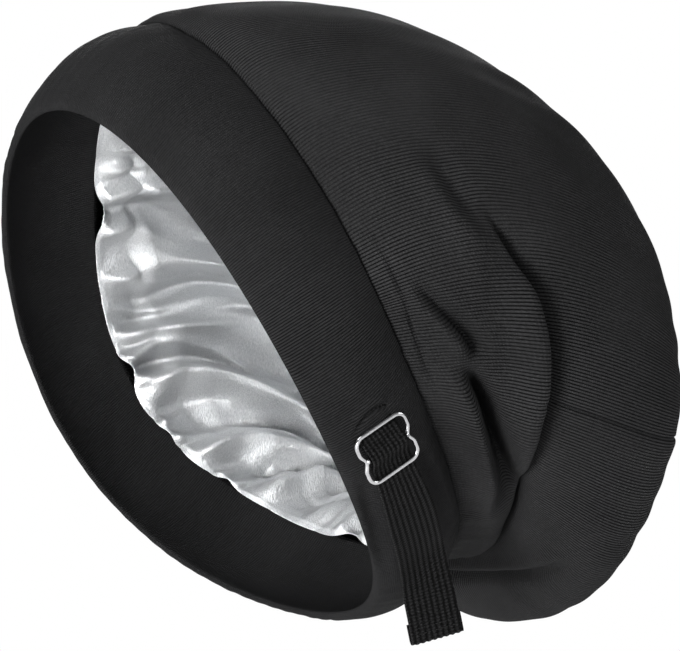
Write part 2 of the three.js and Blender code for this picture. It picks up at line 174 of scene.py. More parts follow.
MAIN_FOLD = fold_line(
    (0, 0.3, 0),
    (74, 0.352, 0),
    (84, 0.362, 0.5),
    (94, 0.37, 1),
    (108, 0.335, 1),
    (125, 0.235, 0.85),
    (138, 0.18, 0.7),
    (154, 0.15, 0.5),
    (180, 0.14, 0.3),
)

# Smaller folds: the width along the crown, how far the cloth before the valley rolls over it in
# millimetres, and the valley's line.
SIDE_FOLDS = {
    "upper": (0.026, 1.0, fold_line((62, 0.31, 0), (76, 0.31, 0.3), (88, 0.31, 0.24), (97, 0.28, 0))),
    "inner": (0.026, 1.5, fold_line((86, 0.12, 0), (92, 0.14, 0.3), (101, 0.185, 0.55), (105, 0.18, 0))),
    "pocket": (
        0.034,
        3.0,
        fold_line((103, 0.16, 0), (114, 0.145, 1.3), (128, 0.135, 1.3), (148, 0.12, 0.3), (160, 0.11, 0)),
    ),
    "fine": (0.012, 0.5, fold_line((70, 0.07, 0), (88, 0.07, 0.08), (101, 0.05, 0.1), (112, 0.04, 0))),
    "under": (
        0.03,
        3.0,
        fold_line((146, 0.47, 0), (156, 0.41, 0.3), (170, 0.32, 0.42), (184, 0.31, 0.35), (196, 0.31, 0)),
    ),
    "ridge": (0.045, 0.0, fold_line((30, 0.55, 0), (45, 0.64, -0.09), (66, 0.7, -0.09), (84, 0.74, 0))),
}
FOLD_FRONT = 0.022
FOLD_BACK = 0.04
FOLD_CREASE = 0.014
FOLD_LIP = 0.5
FOLD_ROLL = 5.2
RIGHT_SIDE_SHARE = 0.5

LINING_SLACK = table(
    "along slack",
    [(0, 0), (0.1, 0.45), (0.2, 1), (0.36, 1.1), (0.55, 1.05), (0.8, 0.6), (1, 0.4)],
)


def smooth(x):
    s = np.clip(x, 0, 1)
    return s * s * (3 - 2 * s)


def spline(xs, ys, x):
    """Natural cubic spline through (xs, ys), read at x."""
    n = len(xs)
    h = np.diff(xs)
    system = np.eye(n)
    rest = np.zeros(n)
    for i in range(1, n - 1):
        system[i, i - 1 : i + 2] = h[i - 1], 2 * (h[i - 1] + h[i]), h[i]
        rest[i] = 6 * ((ys[i + 1] - ys[i]) / h[i] - (ys[i] - ys[i - 1]) / h[i - 1])
    bend = np.linalg.solve(system, rest)
    x = np.asarray(x, float)
    k = np.clip(np.searchsorted(xs, x, side="right") - 1, 0, n - 2)
    a = (xs[k + 1] - x) / h[k]
    b = (x - xs[k]) / h[k]
    curve = ((a**3 - a) * bend[k] + (b**3 - b) * bend[k + 1]) * h[k] ** 2 / 6
    return a * ys[k] + b * ys[k + 1] + curve


def eased(rows, key, column, x):
    """A table column read at x, eased between rows so that it never overshoots."""
    xs, ys = rows[key], rows[column]
    k = np.clip(np.searchsorted(xs, x, side="right") - 1, 0, len(xs) - 2)
    return ys[k] + (ys[k + 1] - ys[k]) * smooth((x - xs[k]) / (xs[k + 1] - xs[k]))


def axis_at(slope):
    s = np.radians(slope)
    return np.stack([0 * s, np.sin(s), np.cos(s)], -1)


def front_at(slope):
    s = np.radians(slope)
    return np.stack([0 * s, -np.cos(s), np.sin(s)], -1)


def section_point(section, angle):
    """Points of sections at angles round the head: squared ovals, bent along their axis."""
    t = np.radians(angle)
    power = 2 / section["square"]
    front = np.sign(np.cos(t)) * np.abs(np.cos(t)) ** power
    side = np.sign(np.sin(t)) * np.abs(np.sin(t)) ** power
    bend = section["saddle"] * np.cos(2 * t) + section["wave"] * np.cos(3 * t)
    across = side * section["half_width"] * (1 - section["egg"] * front)
    point = np.stack([across, section["y"] + 0 * across, section["z"] + 0 * across], -1)
    point += front_at(section["slope"]) * (front * section["half_length"])[..., None]
    point += axis_at(section["slope"]) * bend[..., None]
    return point


RIM = {
    "y": 0.0,
    "z": 0.0,
    "slope": RIM_SLOPE,
    "half_length": HEAD_LENGTH / 2,
    "half_width": HEAD_WIDTH / 2,
    "egg": EGG,
    "saddle": RIM_SADDLE,
    "wave": RIM_WAVE,
    "square": 2.0,
}
SEAM_CENTRE = axis_at(RIM_SLOPE) * BAND_WIDTH + front_at(RIM_SLOPE) * SEAM_SHIFT
SEAM = {
    "y": SEAM_CENTRE[1],
    "z": SEAM_CENTRE[2],
    "slope": RIM_SLOPE + SEAM_TURN,
    "half_length": HEAD_LENGTH / 2 + BAND_FLARE,
    "half_width": HEAD_WIDTH / 2 + BAND_FLARE,
    "egg": EGG,
    "saddle": SEAM_SADDLE,
    "wave": SEAM_WAVE,
    "square": SEAM_SQUARE,
}


def band_point(across, angle):
    """Points of the band's outside, 0 at the rim and 1 at the crown seam."""
    section = {name: RIM[name] + (SEAM[name] - RIM[name]) * across for name in RIM}
    bulge = BAND_BULGE * 4 * across * (1 - across)
    section["half_length"] = section["half_length"] + bulge
    section["half_width"] = section["half_width"] + 0.8 * bulge
    return section_point(section, angle)


CROWN_STATIONS = {
    "along": np.append(0, CROWN_SECTIONS["along"]),
    "y": SEAM["y"] + np.append(0, CROWN_SECTIONS["behind"] * CROWN_REACH),
    "z": SEAM["z"] + np.append(0, CROWN_SECTIONS["above"] * CROWN_REACH),
    "slope": np.append(SEAM["slope"], CROWN_SECTIONS["slope"]),
    "half_length": np.append(SEAM["half_length"], CROWN_SECTIONS["length"] * BAG_LENGTH / 2),
    "half_width": np.append(SEAM["half_width"], CROWN_SECTIONS["width"] * BAG_WIDTH / 2),
    "egg": np.append(EGG, CROWN_SECTIONS["egg"]),
    "saddle": SEAM_SADDLE * np.append(1, CROWN_SECTIONS["saddle"]),
    "wave": SEAM_WAVE * np.append(1, CROWN_SECTIONS["wave"]),
    "square": np.append(SEAM_SQUARE, CROWN_SECTIONS["square"]),
}


def crown_point(along, angle):
    """Points of the unfolded crown, 0 at the seam and 1 at the tip."""
    stations = CROWN_STATIONS
    section = {name: spline(stations["along"], stations[name], along) for name in RIM}
    return section_point(section, angle)


def surface(point_at, place, angle, turn=1.0):
    """Points of a surface and their outward directions, flattened to the seam where turn is 0."""
    step = 0.004
    here = point_at(place, angle)
    round_ = point_at(place, angle + 0.5) - point_at(place, angle - 0.5)
    on = point_at(np.minimum(place + step, 1), angle) - point_at(np.maximum(place - step, 0), angle)
    full = unit(np.cross(round_, on))
    flat = unit(np.cross(round_, axis_at(RIM_SLOPE + SEAM_TURN * 0.5)))
    turn = np.asarray(turn)[..., None]
    return here, unit(flat + (full - flat) * turn)


def unit(v):
    return v / np.maximum(np.linalg.norm(v, axis=-1, keepdims=True), 1e-9)


def mirrored(angle):
    wrapped = np.mod(angle, 360)
    return np.where(wrapped > 180, 360 - wrapped, wrapped)


def main_fold_at(angle):
    return spline(MAIN_FOLD["angle"], MAIN_FOLD["along"], mirrored(angle))


def fold_shape(along, angle):
    """Depth of the crown's folds below its unfolded surface, and how far the cloth in front of
    each valley rolls back over it."""
    angle = np.mod(angle, 360)
    fade = RIGHT_SIDE_SHARE + (1 - RIGHT_SIDE_SHARE) * smooth((200 - angle) / 20)
    share = np.where(angle > 180, fade, 1.0)
    offset = along - main_fold_at(angle)
    main = eased(MAIN_FOLD, "angle", "depth", mirrored(angle)) * share
    behind = np.exp(-((np.maximum(offset, 0) / FOLD_BACK) ** 1.25))
    valley = np.where(offset < 0, np.exp(-((offset / FOLD_FRONT) ** 2)), behind)
    lip = FOLD_LIP * np.exp(-(((offset + 2.4 * FOLD_FRONT) / (1.5 * FOLD_FRONT)) ** 2))
    crease = 0.45 * np.exp(-np.sqrt(offset**2 + 0.003**2) / FOLD_CREASE)
    depth = main * (0.85 * valley + crease - lip)
    roll = main * FOLD_ROLL * np.exp(-(((offset + 1.5 * FOLD_FRONT) / (1.6 * FOLD_FRONT)) ** 2))
    for width, reach, fold in SIDE_FOLDS.values():
        first, last = fold["angle"][0], fold["angle"][-1]
        inside = (angle > first) & (angle < last)
        centre = spline(fold["angle"], fold["along"], np.clip(angle, first, last))
        strength = eased(fold, "angle", "depth", angle) * inside
        gap = along - centre
        depth = depth + strength * np.exp(-((gap / width) ** 2))
        depth = depth - 0.35 * strength * np.exp(-(((gap + 1.9 * width) / width) ** 2))
        roll = roll + strength * reach * np.exp(-(((gap + 1.4 * width) / (1.3 * width)) ** 2))
    fade = smooth(along / 0.06)
    return FOLD_DEPTH * depth * fade, roll * fade


def waves(seed, count, angle, along, turns, rate, lean=0.0):
    """Soft seeded waves round the head, from -1 to 1 or so. Turns is the range of their number
    round the head, and rate is how far their phase may shift along the crown."""
    rng = np.random.default_rng(seed)
    total = 0 * (angle + along)
    for _ in range(count):
        n = rng.integers(*turns)
        m = rng.uniform(-rate, rate) + lean * n
        phase = rng.uniform(0, 2 * math.pi)
        total = total + rng.uniform(0.5, 1) * np.sin(n * np.radians(angle) + m * along + phase)
    return total / math.sqrt(count)


def grid_mesh(name, points, across, pole=None, wrap_rows=False):
    """A mesh over a grid of points, closed round its columns. UV x is the share of the way
    round, and UV y is the distance along the rows in metres."""
    rows, columns = points.shape[:2]
    verts = points.reshape(-1, 3) * MM
    faces = []
    uvs = []
    last = rows if wrap_rows else rows - 1
    for i in range(last):
        top = (i + 1) % rows
        for j in range(columns):
            k = (j + 1) % columns
            faces.append((i * columns + j, i * columns + k, top * columns + k, top * columns + j))
    steps = np.linalg.norm(np.diff(points, axis=0), axis=-1).mean(1)
    along = np.concatenate([[0], np.cumsum(steps)])
    if wrap_rows:
        along = np.append(along, along[-1] + np.linalg.norm(points[0] - points[-1], axis=-1).mean())
    u = np.append(across, across[0] + 1)
    for i in range(last):
        low, high = along[i] * MM, along[i + 1] * MM
        for j in range(columns):
            uvs += [u[j], low, u[j + 1], low, u[j + 1], high, u[j], high]
    if pole is not None:
        verts = np.vstack([verts, pole * MM])
        base = (rows - 1) * columns
        for j in range(columns):
            faces.append((base + j, base + (j + 1) % columns, len(verts) - 1))
            tip = along[-1] * MM
            uvs += [u[j], tip, u[j + 1], tip, (u[j] + u[j + 1]) / 2, tip + 0.002]
    mesh = bpy.data.meshes.new(name)
    mesh.from_pydata(verts.tolist(), [], faces)
    layer = mesh.uv_layers.new(name="Surface")
    layer.data.foreach_set("uv", np.array(uvs, np.float32))
    mesh.validate()
    mesh.shade_smooth()
    piece = bpy.data.objects.new(name, mesh)
    bpy.context.scene.collection.objects.link(piece)
    return piece


def finish_piece(piece, material, slot, *nodes):
    piece.data.materials.append(material)
    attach(piece, "root")
    if nodes:
        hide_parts(*nodes)
    return piece


def thicken(piece, thickness, offset):
    solid = piece.modifiers.new("Cloth thickness", "SOLIDIFY")
    solid.thickness = thickness * MM
    solid.offset = offset
    solid.use_rim = True


def dense_angles(count, centre, spread, extra):
    """Angles round the head, closer together near a centre."""
    even = np.arange(count) * 360 / count
    more = centre + np.linspace(-spread, spread, extra)
    return np.unique(np.round(np.concatenate([even, more]), 4))


# Band


# The band's closed profile, from the rim to the seam and back inside: shares of its width, a
# little over 1 past the seam, and of its wall, in from the outside.
BAND_PROFILE = table(
    "across depth",
    [
        (0, 0.5), (0.003, 0.3), (0.01, 0.14), (0.022, 0.04), (0.04, 0),
        (0.985, 0), (0.994, 0.1), (1, 0.3), (1.004, 0.55),
        (1, 1), (0.04, 1), (0.022, 0.96), (0.01, 0.86), (0.003, 0.7),
    ],
)


def profile_points(profile, step):
    """A band profile with its long stretches divided."""
    across, depth = [], []
    count = len(profile["across"])
    for i in range(count):
        k = (i + 1) % count
        reach = profile["across"][k] - profile["across"][i]
        sink = profile["depth"][k] - profile["depth"][i]
        parts = max(1, round(abs(reach) / step))
        for part in range(parts):
            share = part / parts
            across.append(profile["across"][i] + reach * share)
            depth.append(profile["depth"][i] + sink * share)
    return np.array(across), np.array(depth)


def slit_shape(across, angle):
    """How the band dips under the buckle where the strap comes out, with an arched crease above."""
    distance = (angle - BUCKLE_ANGLE) * MM_PER_DEGREE
    side = (across * BAND_WIDTH - BUCKLE_HEIGHT) / (STRAP_WIDTH / 2)
    inside = smooth((distance - SLIT_EDGE) / 1.0) * smooth((SLIT_EDGE + 5 - distance) / 3)
    narrow = 1 - smooth((np.abs(side) - 0.98) / 0.15)
    arch = distance - (SLIT_EDGE - 4.6 + 1.9 * (side - 0.15) ** 2)
    reach = 1 - smooth((np.abs(side - 0.15) - 0.75) / 0.6)
    crease = 1.8 * np.exp(-((arch / 0.8) ** 2)) * reach
    swell = 0.7 * np.exp(-(((arch + 2.4) / 1.8) ** 2)) * reach
    return 2.0 * inside * narrow + crease - swell


def strap_pull(across, angle):
    """Shallow folds in the band beside the strap, where its tension draws the cloth in."""
    distance = (angle - BUCKLE_ANGLE) * MM_PER_DEGREE
    side = across * BAND_WIDTH - BUCKLE_HEIGHT
    along = smooth((distance - 3) / 14) * smooth((66 - distance) / 30)
    left = np.exp(-(((side + 10.5 + 0.05 * distance) / 3.6) ** 2))
    right = np.exp(-(((side - 10.5 - 0.14 * distance) / 3.8) ** 2))
    above = np.exp(-(((distance + 24) / 12) ** 2)) * np.exp(-((side / 9) ** 2))
    return along * (2.4 * left + 2.8 * right) - 0.6 * above


def build_band(material):
    angles = dense_angles(BAND_COLUMNS, BUCKLE_ANGLE - 4, spread=9, extra=90)
    across, depth = profile_points(BAND_PROFILE, 0.025)
    place, angle = np.meshgrid(across, angles, indexing="ij")
    here, out = surface(band_point, np.minimum(place, 1), angle, 0.0)
    over = np.maximum(place - 1, 0) * BAND_WIDTH
    outside = 1 - smooth(depth / 0.5)[:, None]
    ripple = 0.35 * waves(3, 14, angle, place * 3, (5, 26), 1.2)
    ripple = ripple + 0.16 * waves(4, 14, angle, place * 3, (30, 90), 2.5)
    sink = (slit_shape(place, angle) + strap_pull(place, angle) - ripple) * outside
    points = here - out * (depth[:, None] * BAND_WALL + sink)[..., None]
    points = points + axis_at(RIM_SLOPE) * over[..., None]
    rows = points.transpose(1, 0, 2)[:, ::-1]
    band = grid_mesh("band_cloth", rows, profile_lengths(points), wrap_rows=True)
    return finish_piece(band, material, "jersey", "band")


def profile_lengths(points):
    """Share of the way round the band's profile at each of its points."""
    loop = np.vstack([points[:, 0], points[:1, 0]])[::-1]
    lengths = np.linalg.norm(np.diff(loop, axis=0), axis=-1)
    return np.concatenate([[0], np.cumsum(lengths)[:-1]]) / lengths.sum()


# Crown


def crown_tip():
    """The middle of the crown's last section."""
    return crown_point(np.array([1.0]), np.array([0.0, 90.0, 180.0, 270.0])).mean(0)


def build_crown(material):
    left, right = (
        dense_angles(CROWN_COLUMNS, seam, spread=3, extra=50)
        for seam in (SIDE_SEAM_ANGLE, 360 - SIDE_SEAM_ANGLE)
    )
    angles = np.union1d(left, right)
    to_fold = np.linspace(0, 1, 90)[:-1]
    to_tip = 1 - (1 - np.linspace(0, 1, 130)) ** 1.15
    valley = main_fold_at(angles)[None, :]
    along = np.vstack([to_fold[:, None] * valley, valley + to_tip[:-1, None] * (1 - valley)])
    angle = np.broadcast_to(angles, along.shape)
    here, out = surface(crown_point, along, angle, smooth(along / 0.1))
    sag = 0.9 * waves(11, 16, angle, along, (2, 9), 9) * smooth(along / 0.15)
    crease = 0.35 * waves(12, 24, angle, along, (10, 44), 12) * smooth(along / 0.05)
    gather = gathers_at_seam(along, angle)
    turn_in = 2.0 * np.exp(-((along / 0.009) ** 2))
    seam = side_seam(along, angle)
    folded, roll = fold_shape(along, angle)
    depth = folded + turn_in + gather + seam - (sag + crease) * smooth((1 - along) / 0.2)
    back = unit(crown_point(along + 0.004, angle) - crown_point(along - 0.004, angle))
    points = here - out * depth[..., None] + back * roll[..., None]
    crown = grid_mesh("crown_cloth", points, angles / 360, pole=crown_tip())
    thicken(crown, JERSEY, -1.0)
    return finish_piece(crown, material, "jersey", "crown")


def gathers_at_seam(along, angle):
    """Small puckers where the crown's edge is gathered into the band, behind the ears."""
    behind = smooth((mirrored(angle) - 70) / 50)
    pucker = waves(21, 18, angle, along, (24, 70), 16)
    return 0.8 * pucker * behind * np.exp(-along / 0.09) * smooth(along / 0.015)


def side_seam(along, angle):
    """The crown's side seams: a fine groove with its allowance raised beside it."""
    gap = (mirrored(angle) - SIDE_SEAM_ANGLE) * MM_PER_SEAM_DEGREE
    fade = smooth((along - 0.2) / 0.08)
    return fade * (0.75 * np.exp(-((gap / 0.7) ** 2)) - 0.22 * np.exp(-(((gap - 2.6) / 1.8) ** 2)))


# Lining


# Pinches of the lining's hem: place round the head, half width in degrees, and a depth in
# millimetres that sets how far the hem is drawn up, how much it curls, and its folds.
HEM_PINCHES = table(
    "angle width depth",
    [
        (18, 5, 5),
        (52, 4, 6),
        (88, 5, 4),
        (127, 4, 6),
        (166, 5, 5),
        (201, 4, 4.5),
        (232, 2.2, 3),
        (248, 3, 3.5),
        (265, 4, 7),
        (303, 4.5, 6.5),
        (338, 5, 5),
    ],
)


def lobe_phase(angle):
    """Phase of the scallops along the lining's hem, unevenly spaced."""
    t = np.radians(angle)
    phase = SCALLOPS * t + 1.9 * np.sin(3 * t + 0.4) + 1.1 * np.sin(7 * t + 2.0)
    return phase + 0.6 * np.sin(11 * t)


def build_lining(material):
    angles = np.arange(LINING_COLUMNS) * 360 / LINING_COLUMNS
    in_band = np.linspace(-1, 0, 10)[:-1]
    in_crown = np.linspace(0, LINING_END, 190)
    row = np.concatenate([in_band, in_crown])
    place, angle = np.meshgrid(row, angles, indexing="ij")
    phase = lobe_phase(angle)
    size = 0.55 + 0.45 * waves(29, 5, angle, 0, (3, 12), 0)
    hem = hem_line(angle, phase, size)
    over_band = np.maximum(hem, LEAST_HEM)
    across = 1 + np.minimum(place, 0) * over_band / BAND_WIDTH
    start = np.maximum(-hem, 0) / SEAM_SCALE
    along = start + (LINING_END - start) * np.maximum(place, 0) / LINING_END
    in_band_zone = ((place < 0) & (hem > LEAST_HEM))[..., None]
    band_here, band_out = surface(band_point, across, angle, 0.0)
    crown_here, crown_out = surface(crown_point, along, angle, smooth(along / 0.1))
    here = np.where(in_band_zone, band_here, crown_here)
    out = np.where(in_band_zone, band_out, crown_out)
    inward = np.where(place < 0, (1 + place) * over_band, hem + along * SEAM_SCALE)
    inward = np.maximum(inward, 0)
    slack = eased(LINING_SLACK, "along", "slack", along) * SLACK_DEPTH
    share = 1 - 0.4 * smooth((angle - 185) / 25) * smooth((350 - angle) / 30)
    depth = BAND_WALL + LINING_GAP + slack * share + satin_folds(along, inward, angle, phase, size)
    depth = depth + hem_curl(inward, angle)
    least = crown_folds_near(along, angle) + LINING_SPACE
    cleared = soft_larger(depth, least, 2)
    depth = np.where(place > 0, cleared + (depth - cleared) * smooth(1 - inward / 6), depth)
    points = here - out * depth[..., None]
    inside = BAND_WALL + LINING_GAP + LINING_SLACK["slack"][-1] * SLACK_DEPTH
    tip = crown_tip() - axis_at(CROWN_SECTIONS["slope"][-1]) * inside
    lining = grid_mesh("lining_satin", points, angles / 360, pole=tip)
    thicken(lining, SATIN, -1.0)
    return finish_piece(lining, material, "satin", "lining")


def soft_larger(a, b, softness):
    """The larger of two values, rounded where they cross."""
    return (a + b + np.sqrt((a - b) ** 2 + softness**2)) / 2


def crown_folds_near(along, angle, reach=0.035, sharpness=0.6):
    """A smooth bound on the depth of the crown's folds within a short reach along it."""
    total = 0
    for step in np.linspace(-reach, reach, 8):
        total = total + np.exp(sharpness * fold_shape(np.maximum(along + step, 0), angle)[0])
    return np.log(total) / sharpness


def pinch_offsets(angle):
    """Signed angle from each pinch of the hem, with its width and depth."""
    for middle, width, depth in zip(*HEM_PINCHES.values()):
        yield np.mod(angle - middle + 180, 360) - 180, width, depth


def hem_line(angle, phase, size):
    """How far the lining's hem reaches over the band from the seam, below 0 in its pinches."""
    line = 1.6 + 1.6 * size * np.abs(np.sin(phase / 2)) ** 0.7
    line = line + 0.8 * waves(28, 5, angle, 0, (5, 11), 0)
    for offset, width, depth in pinch_offsets(angle):
        line = line - 0.42 * depth * np.exp(-((offset / (0.8 * width)) ** 2))
    return line


def hem_curl(inward, angle):
    """The hem's edge rolls inward, most beside a pinch."""
    curl = 1.0 * np.exp(-((inward / 2.0) ** 2))
    for offset, width, depth in pinch_offsets(angle):
        curl = curl + 0.38 * depth * np.exp(-((offset / width) ** 2)) * np.exp(-((inward / 6) ** 2))
    return curl


def satin_folds(along, inward, angle, phase, size):
    """Inward folds of the lining: pinches at its hem that open into long drapes.
    Inward is the distance from the hem's edge in millimetres."""
    swirl = 0.05 * waves(30, 6, angle, along, (2, 7), 9)
    bent = angle + 5 * waves(33, 8, angle, along, (3, 12), 11)
    near = np.exp(-((inward / 12) ** 1.3))
    lean = phase + SCALLOPS * LINING_LEAN * along
    tight = np.abs(np.sin(lean / 2)) ** 0.8 * size
    broad = ridges(waves(31, 5, bent, along + swirl, (9, 17), 4, lean=LINING_LEAN), 0.14)
    middle = ridges(waves(34, 6, bent, along + swirl, (20, 36), 6, lean=LINING_LEAN), 0.12)
    small = ridges(waves(35, 7, bent, along + swirl, (36, 80), 14, lean=LINING_LEAN), 0.08)
    fine = waves(36, 12, bent, along + swirl, (60, 140), 30, lean=LINING_LEAN)
    inside = smooth(inward / 9)
    fade = smooth((1.05 - along) / 0.4)
    drapes = DRAPE_DEPTH * broad + PLEAT_DEPTH * middle - DRAPE_LEVEL
    folds = 1.7 * tight * near + drapes * inside * fade
    small = 0.35 * small * smooth(inward / 4) * np.exp(-along / 0.3)
    return folds + small + pinch_folds(along, inward, angle) + 0.08 * fine * inside


def pinch_folds(along, inward, angle):
    """Folds that fan out from each pinch: a valley between two ridges, widening inward."""
    total = 0 * inward
    turned = angle + math.degrees(LINING_LEAN) * along
    for offset, width, depth in pinch_offsets(turned):
        spread = width * (0.5 + 0.02 * inward)
        ridge = np.exp(-(((np.abs(offset) - 1.5 * spread) / (0.75 * spread)) ** 2))
        valley = np.exp(-((offset / (0.7 * spread)) ** 2))
        total = total + 0.75 * depth * (ridge - 0.6 * valley)
    return total * smooth(inward / 3) * np.exp(-((inward / 75) ** 2))


def ridges(wave, softness):
    """Turns waves into slightly rounded ridges between wide valleys."""
    return 1 - np.sqrt(wave**2 + softness**2)


# Strap


BUCKLE_ACROSS = BUCKLE_HEIGHT / BAND_WIDTH


def band_speed():
    """Millimetres round the band for each degree, at the buckle."""
    angles = np.array([BUCKLE_ANGLE - 0.5, BUCKLE_ANGLE + 0.5])
    ends = band_point(np.full(2, BUCKLE_ACROSS), angles)
    return np.linalg.norm(ends[1] - ends[0])


MM_PER_DEGREE = band_speed()


def strap_line(distance):
    """Points and outward directions on the band, at distances from the buckle along the strap."""
    distance = np.asarray(distance, float)
    angle = BUCKLE_ANGLE + distance / MM_PER_DEGREE
    return surface(band_point, np.full(distance.shape, BUCKLE_ACROSS), angle)


def strap_frame(distance):
    """Frames on the strap's line: place, along it, across it, and out of the band."""
    here, normal = strap_line(distance)
    along = unit(strap_line(np.asarray(distance) + 1)[0] - strap_line(np.asarray(distance) - 1)[0])
    across = unit(np.cross(normal, along))
    return here, along, across, unit(np.cross(along, across))


POCKET_DEPTH = 0.58 * BAND_WALL
STRAP_SEAT = CLEARANCE + STRAP_THICKNESS / 2
POCKET_END = -(BUCKLE_LENGTH / 2 - STRAP_RISE / 3)
POCKET_START = POCKET_END - STRAP_RISE
SLIT_EDGE = -(BUCKLE_LENGTH / 2 - 1.6)
BUCKLE_LIFT = STRAP_SEAT + STRAP_THICKNESS / 2 + CLEARANCE + WIRE / 2
STRAP_OVER_BAR = BUCKLE_LIFT + WIRE / 2 + CLEARANCE + STRAP_THICKNESS / 2


def strap_height(distance):
    """Height of the strap's middle over the band's outside."""
    rise = smooth((distance - SLIT_EDGE + 1.6) / SLIT_RISE)
    resting = -POCKET_DEPTH + (STRAP_SEAT + POCKET_DEPTH) * rise
    hump = np.exp(-((distance / (0.19 * BUCKLE_LENGTH)) ** 2))
    return resting + (STRAP_OVER_BAR - STRAP_SEAT) * hump


def strap_route():
    """Frames along the strap: over the band and down its hanging tail."""
    distance = np.arange(POCKET_START - STRAP_TUCK, STRAP_RUN, 0.5)
    here, along, across, out = strap_frame(distance)
    slope = (strap_height(distance + 0.1) - strap_height(distance - 0.1)) / 0.2
    here = here + out * strap_height(distance)[:, None]
    along = unit(along + out * slope[:, None])
    out = unit(np.cross(along, across))
    places, alongs, acrosses = list(here), list(along), list(across)
    first_along, first_across = along[-1], across[-1]
    hang = unit(np.array([0, STRAP_SWAY, -1.0]))
    steps = 64
    place = here[-1]
    for i in range(1, steps + 1):
        turn = smooth(i / steps * 1.6) * 0.94
        direction = unit(first_along * (1 - turn) + hang * turn)
        place = place + direction * STRAP_DROP / steps
        normal = unit(np.cross(direction, first_across))
        places.append(place)
        alongs.append(direction)
        acrosses.append(unit(np.cross(normal, direction)))
    return np.array(places), np.array(alongs), np.array(acrosses)


def strap_section():
    """Strap section: soft ribs on both faces and rounded edges, as (across, out) pairs."""
    points = []
    half = STRAP_WIDTH / 2
    count = STRAP_SIDES // 2
    for face in (1, -1):
        for i in range(count):
            x = -half + STRAP_WIDTH * (i + 0.5) / count
            edge = np.sqrt(max(1 - (abs(x) / half) ** 10, 0))
            rib = RIB_HEIGHT * math.cos(2 * math.pi * STRAP_RIBS * (x + half) / STRAP_WIDTH)
            points.append((face * x, face * (STRAP_THICKNESS / 2 - RIB_HEIGHT + rib) * edge))
    return points


def strap_spread(share):
    """The strap's width over its width in the buckle, which gathers it."""
    return 1 + TAIL_SPREAD * float(smooth((share - 0.18) / 0.35))


def tube_mesh(name, rings):
    """A closed tube over rings of points, with its ends filled."""
    rings = np.array(rings)
    piece = grid_mesh(name, rings, np.arange(rings.shape[1]) / rings.shape[1])
    mesh = piece.data
    count = rings.shape[1]
    ends = [list(range(count))[::-1], list(range(len(mesh.vertices) - count, len(mesh.vertices)))]
    work = bmesh.new()
    work.from_mesh(mesh)
    work.verts.ensure_lookup_table()
    for end in ends:
        work.faces.new([work.verts[i] for i in end])
    work.normal_update()
    work.to_mesh(mesh)
    work.free()
    mesh.shade_smooth()
    return piece


def build_strap(material):
    """The strap with its folded hem. Returns the frame of the tail's end."""
    places, alongs, acrosses = strap_route()
    outs = unit(np.cross(alongs, acrosses))
    section = strap_section()
    rings = []
    for i in range(len(places)):
        wide = strap_spread(i / (len(places) - 1))
        rings.append([places[i] + acrosses[i] * x * wide + outs[i] * y for x, y in section])
    end, along, across, out = places[-1], alongs[-1], acrosses[-1], outs[-1]
    centre = end - out * HEM_RADIUS
    for i in range(1, HEM_STEPS + 1):
        a = math.pi * i / HEM_STEPS
        normal = out * math.cos(a) + along * math.sin(a)
        place = centre + normal * HEM_RADIUS
        flare = strap_spread(1) + HEM_FLARE * math.sin(a / 2)
        shift = across * HEM_SHIFT * math.sin(a / 2)
        rings.append([place + shift + across * x * flare + normal * y for x, y in section])
    flare = strap_spread(1) + HEM_FLARE
    for i in range(1, HEM_STEPS):
        back = along * (HEM_LENGTH * i / (HEM_STEPS - 1))
        place = end - out * 2 * HEM_RADIUS - back + across * HEM_SHIFT
        rings.append([place + across * x * flare - out * y for x, y in section])
    strap = tube_mesh("strap_elastic", rings)
    finish_piece(strap, material, "elastic", "strap")
    return end, along, across, out


# One stitch of the hem: steps across the strap and heights over it. Rows are places along the
# tail from its end, and the first stitch starts at an inset from the strap's edge.
STITCH = ((0, -0.15), (0.3, 0.1), (0.8, 0.1), (1.1, -0.15))
STITCH_ROWS = (-2.0, -4.0)
STITCH_COUNT = 9
STITCH_SPACING = 1.55
STITCH_INSET = 0.9
THREAD = 0.16


def build_hem_stitches(material, hem):
    """Two rows of thread through the strap's folded hem."""
    end, along, across, out = hem
    curve = bpy.data.curves.new("hem_stitches", "CURVE")
    curve.dimensions = "3D"
    curve.bevel_depth = THREAD * MM
    curve.bevel_resolution = 2
    top = STRAP_THICKNESS / 2 + 0.02
    for row in STITCH_ROWS:
        for i in range(STITCH_COUNT):
            x = -STRAP_WIDTH / 2 + STITCH_INSET + i * STITCH_SPACING
            for face, height in ((1, top), (-1, -2 * HEM_RADIUS - top)):
                line = curve.splines.new("POLY")
                line.points.add(3)
                for k, (step, lift) in enumerate(STITCH):
                    point = end + across * (x + step) + along * row + out * (height + face * lift)
                    line.points[k].co = (*(point * MM), 1)
    stitches = bpy.data.objects.new("hem_stitches", curve)
    bpy.context.scene.collection.objects.link(stitches)
    return finish_piece(stitches, material, "elastic")


# Buckle


def buckle_outline():
    """Centre line of the buckle's wire loop, flat, with its waist pinched to the centre bar."""
    x = BUCKLE_WAIST + BUCKLE_SHOULDER
    y = BUCKLE_LENGTH / 2 - WIRE / 2
    r = BUCKLE_CORNER
    points = []
    for share in np.linspace(0, 1, 14)[:-1]:
        points.append((share * (x - r), y))
    for a in np.linspace(0, math.pi / 2, 14)[:-1]:
        points.append((x - r + r * math.sin(a), y - r + r * math.cos(a)))
    side_top = y - r
    for share in np.linspace(0, 1, 26)[:-1]:
        pinch = BUCKLE_SHOULDER * smooth((share - 0.35) / 0.65)
        points.append((x - pinch, side_top * (1 - share)))
    quarter = points + [(BUCKLE_WAIST, 0.0)]
    half = quarter + [(px, -py) for px, py in quarter[-2::-1]]
    return np.array(half + [(-px, py) for px, py in half[-2:0:-1]])


